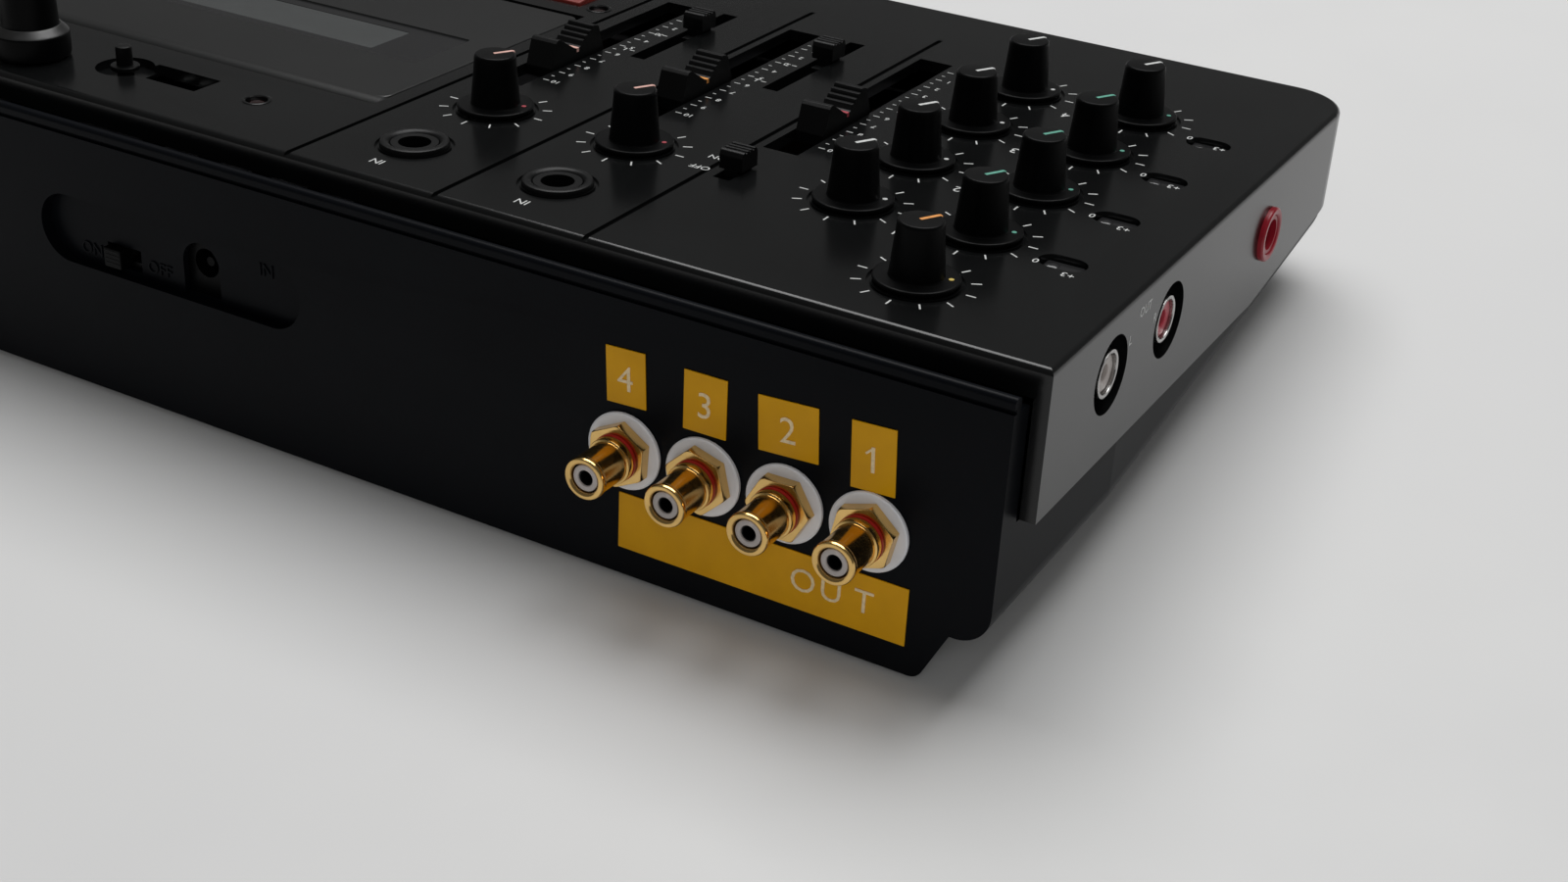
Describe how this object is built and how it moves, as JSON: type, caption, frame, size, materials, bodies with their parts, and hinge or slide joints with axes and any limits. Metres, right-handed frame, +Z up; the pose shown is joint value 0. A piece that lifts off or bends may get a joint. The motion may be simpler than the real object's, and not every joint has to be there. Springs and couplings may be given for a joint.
{
  "type": "four track cassette recorder",
  "caption": "Desktop four track cassette recorder: mixer knobs and faders on the left of a sloped panel, cassette lid and transport keys on the right.",
  "frame": {"origin": "middle of the bounding box at the height of the feet", "axes": "+X to the user's right along the length, +Y to the rear, +Z up; the panel slopes down towards the user by 8 degrees"},
  "size_m": [0.3012, 0.1898, 0.0806],
  "materials": {
    "black_case": "satin, fine texture",
    "black_knob": "satin",
    "black_control": "satin",
    "rubber": "matt",
    "steel": "plain",
    "brass_dark": "turned",
    "grey_metal": "matt",
    "board": "laminate",
    "bright_ring": "bright",
    "ivory": "satin",
    "red": "satin",
    "gold": "gold plated",
    "label_tape": "glossy embossed tape",
    "window": "clear plastic",
    "key_grey": "satin"
  },
  "bodies": {
    "case": {"top_shell": "black_case", "bottom_shell": "black_case", "rubber_feet": "rubber", "shell_screws": "steel", "mixer_board": "board", "control_pots": "steel", "fader_bodies": "grey_metal", "slide_switch_bodies": "grey_metal", "input_jack_bodies": "black_control", "input_jack_nuts": "black_control", "line_out_sockets": "bright_ring", "line_out_inserts": "ivory", "remote_jack_body": "black_control", "remote_jack_collar": "red", "tape_out_washers": "ivory", "tape_out_nuts": "gold", "tape_out_bands": "red", "tape_out_barrels": "gold", "tape_out_inserts": "ivory", "tape_labels": "label_tape", "dc_socket": "black_control", "meter_leds": "red", "indicator_leds": "red", "deck_frame": "grey_metal", "tape_head": "steel", "motor": "steel"},
    "level_knob_1": {"level_knob_1": "black_knob"},
    "level_knob_2": {"level_knob_2": "black_knob"},
    "level_knob_3": {"level_knob_3": "black_knob"},
    "level_knob_4": {"level_knob_4": "black_knob"},
    "pan_knob_1": {"pan_knob_1": "black_knob"},
    "pan_knob_2": {"pan_knob_2": "black_knob"},
    "pan_knob_3": {"pan_knob_3": "black_knob"},
    "pan_knob_4": {"pan_knob_4": "black_knob"},
    "trim_knob_1": {"trim_knob_1": "black_knob"},
    "trim_knob_2": {"trim_knob_2": "black_knob"},
    "phones_knob": {"phones_knob": "black_knob"},
    "pitch_knob": {"pitch_knob": "black_knob"},
    "input_fader_1": {"input_fader_1": "black_control"},
    "input_fader_2": {"input_fader_2": "black_control"},
    "master_fader": {"master_fader": "black_control"},
    "assign_switch_1": {"assign_switch_1": "black_control"},
    "assign_switch_2": {"assign_switch_2": "black_control"},
    "noise_switch": {"noise_switch": "black_control"},
    "power_switch": {"power_switch": "black_control"},
    "record_key": {"record_key": "red"},
    "play_key": {"play_key": "key_grey"},
    "rewind_key": {"rewind_key": "key_grey"},
    "forward_key": {"forward_key": "key_grey"},
    "stop_key": {"stop_key": "key_grey"},
    "pause_key": {"pause_key": "key_grey"},
    "counter_reset_button": {"counter_reset_button": "black_control"},
    "lid": {"cassette_lid": "black_case", "lid_window": "window"},
    "supply_hub": {"supply_hub": "ivory"},
    "take_up_hub": {"take_up_hub": "ivory"},
    "flywheel": {"flywheel": "brass_dark"},
    "counter_wheel_1": {"counter_wheel_1": "black_control"},
    "counter_wheel_2": {"counter_wheel_2": "black_control"},
    "counter_wheel_3": {"counter_wheel_3": "black_control"}
  },
  "joints": [
    {"name": "level_knob_1_turn", "type": "hinge", "parent": "case", "child": "level_knob_1", "pos_m": [-0.0884, 0.02586, 0.05655], "axis": [0, -0.1392, 0.9903], "range_deg": [-150, 150]},
    {"name": "level_knob_2_turn", "type": "hinge", "parent": "case", "child": "level_knob_2", "pos_m": [-0.0884, -0.00023, 0.05289], "axis": [0, -0.1392, 0.9903], "range_deg": [-150, 150]},
    {"name": "level_knob_3_turn", "type": "hinge", "parent": "case", "child": "level_knob_3", "pos_m": [-0.0884, -0.02633, 0.04922], "axis": [0, -0.1392, 0.9903], "range_deg": [-150, 150]},
    {"name": "level_knob_4_turn", "type": "hinge", "parent": "case", "child": "level_knob_4", "pos_m": [-0.0884, -0.05242, 0.04555], "axis": [0, -0.1392, 0.9903], "range_deg": [-150, 150]},
    {"name": "pan_knob_1_turn", "type": "hinge", "parent": "case", "child": "pan_knob_1", "pos_m": [-0.1151, 0.02586, 0.05655], "axis": [0, -0.1392, 0.9903], "range_deg": [-150, 150]},
    {"name": "pan_knob_2_turn", "type": "hinge", "parent": "case", "child": "pan_knob_2", "pos_m": [-0.1151, -0.00023, 0.05289], "axis": [0, -0.1392, 0.9903], "range_deg": [-150, 150]},
    {"name": "pan_knob_3_turn", "type": "hinge", "parent": "case", "child": "pan_knob_3", "pos_m": [-0.1151, -0.02633, 0.04922], "axis": [0, -0.1392, 0.9903], "range_deg": [-150, 150]},
    {"name": "pan_knob_4_turn", "type": "hinge", "parent": "case", "child": "pan_knob_4", "pos_m": [-0.1151, -0.05242, 0.04555], "axis": [0, -0.1392, 0.9903], "range_deg": [-150, 150]},
    {"name": "trim_knob_1_turn", "type": "hinge", "parent": "case", "child": "trim_knob_1", "pos_m": [-0.0391, 0.02586, 0.05655], "axis": [0, -0.1392, 0.9903], "range_deg": [-150, 150]},
    {"name": "trim_knob_2_turn", "type": "hinge", "parent": "case", "child": "trim_knob_2", "pos_m": [-0.0051, 0.02586, 0.05655], "axis": [0, -0.1392, 0.9903], "range_deg": [-150, 150]},
    {"name": "phones_knob_turn", "type": "hinge", "parent": "case", "child": "phones_knob", "pos_m": [-0.1151, 0.05195, 0.06022], "axis": [0, -0.1392, 0.9903], "range_deg": [-150, 150]},
    {"name": "pitch_knob_turn", "type": "hinge", "parent": "case", "child": "pitch_knob", "pos_m": [0.0912, 0.05859, 0.06115], "axis": [0, -0.1392, 0.9903], "range_deg": [-150, 150]},
    {"name": "input_fader_1_slide", "type": "slide", "parent": "case", "child": "input_fader_1", "axis": [0, 0.9903, 0.1392], "range_m": [-0.0355, 0.0095]},
    {"name": "input_fader_2_slide", "type": "slide", "parent": "case", "child": "input_fader_2", "axis": [0, 0.9903, 0.1392], "range_m": [-0.0355, 0.0095]},
    {"name": "master_fader_slide", "type": "slide", "parent": "case", "child": "master_fader", "axis": [0, 0.9903, 0.1392], "range_m": [-0.0355, 0.0095]},
    {"name": "assign_switch_1_slide", "type": "slide", "parent": "case", "child": "assign_switch_1", "axis": [0, 0.9903, 0.1392], "range_m": [-0.0075, 0.0175]},
    {"name": "assign_switch_2_slide", "type": "slide", "parent": "case", "child": "assign_switch_2", "axis": [0, 0.9903, 0.1392], "range_m": [-0.0075, 0.0175]},
    {"name": "noise_switch_slide", "type": "slide", "parent": "case", "child": "noise_switch", "axis": [0, 0.9903, 0.1392], "range_m": [-0.001, 0.003]},
    {"name": "power_switch_slide", "type": "slide", "parent": "case", "child": "power_switch", "axis": [-1, 0, 0], "range_m": [0, 0.0033]},
    {"name": "record_key_press", "type": "hinge", "parent": "case", "child": "record_key", "pos_m": [0.0309, -0.03852, 0.04225], "axis": [1, 0, 0], "range_deg": [0, 7], "stiffness_Nm_per_rad": 0.05, "springref_deg": -11.46},
    {"name": "play_key_press", "type": "hinge", "parent": "case", "child": "play_key", "pos_m": [0.0493, -0.03852, 0.04225], "axis": [1, 0, 0], "range_deg": [0, 7], "stiffness_Nm_per_rad": 0.05, "springref_deg": -11.46},
    {"name": "rewind_key_press", "type": "hinge", "parent": "case", "child": "rewind_key", "pos_m": [0.0677, -0.03852, 0.04225], "axis": [1, 0, 0], "range_deg": [0, 7], "stiffness_Nm_per_rad": 0.05, "springref_deg": -11.46},
    {"name": "forward_key_press", "type": "hinge", "parent": "case", "child": "forward_key", "pos_m": [0.0861, -0.03852, 0.04225], "axis": [1, 0, 0], "range_deg": [0, 7], "stiffness_Nm_per_rad": 0.05, "springref_deg": -11.46},
    {"name": "stop_key_press", "type": "hinge", "parent": "case", "child": "stop_key", "pos_m": [0.1045, -0.03852, 0.04225], "axis": [1, 0, 0], "range_deg": [0, 7], "stiffness_Nm_per_rad": 0.05, "springref_deg": -11.46},
    {"name": "pause_key_press", "type": "hinge", "parent": "case", "child": "pause_key", "pos_m": [0.1229, -0.03852, 0.04225], "axis": [1, 0, 0], "range_deg": [0, 7], "stiffness_Nm_per_rad": 0.05, "springref_deg": -11.46},
    {"name": "counter_reset_press", "type": "slide", "parent": "case", "child": "counter_reset_button", "axis": [0, 0.1392, -0.9903], "range_m": [0, 0.0012], "stiffness_N_per_m": 150, "springref_m": -0.002},
    {"name": "lid_open", "type": "hinge", "parent": "case", "child": "lid", "pos_m": [0.0741, 0.03496, 0.05399], "axis": [-1, 0, 0], "range_deg": [0, 65]},
    {"name": "supply_hub_spin", "type": "hinge", "parent": "case", "child": "supply_hub", "pos_m": [0.05285, 0.00597, 0.03608], "axis": [0, -0.1392, 0.9903], "continuous": true},
    {"name": "take_up_hub_spin", "type": "hinge", "parent": "case", "child": "take_up_hub", "pos_m": [0.09535, 0.00597, 0.03608], "axis": [0, -0.1392, 0.9903], "continuous": true},
    {"name": "flywheel_spin", "type": "hinge", "parent": "case", "child": "flywheel", "pos_m": [0.0971, -0.02236, 0.0321], "axis": [0, -0.1392, 0.9903], "continuous": true},
    {"name": "counter_wheel_1_spin", "type": "hinge", "parent": "case", "child": "counter_wheel_1", "pos_m": [0.0533, 0.05231, 0.05158], "axis": [1, 0, 0], "continuous": true},
    {"name": "counter_wheel_2_spin", "type": "hinge", "parent": "case", "child": "counter_wheel_2", "pos_m": [0.058, 0.05231, 0.05158], "axis": [1, 0, 0], "continuous": true},
    {"name": "counter_wheel_3_spin", "type": "hinge", "parent": "case", "child": "counter_wheel_3", "pos_m": [0.0627, 0.05231, 0.05158], "axis": [1, 0, 0], "continuous": true}
  ],
  "couplings": [
    {"joint": "counter_wheel_3_spin", "follows": "take_up_hub_spin", "ratio": 0.5},
    {"joint": "counter_wheel_2_spin", "follows": "take_up_hub_spin", "ratio": 0.05},
    {"joint": "counter_wheel_1_spin", "follows": "take_up_hub_spin", "ratio": 0.005}
  ]
}
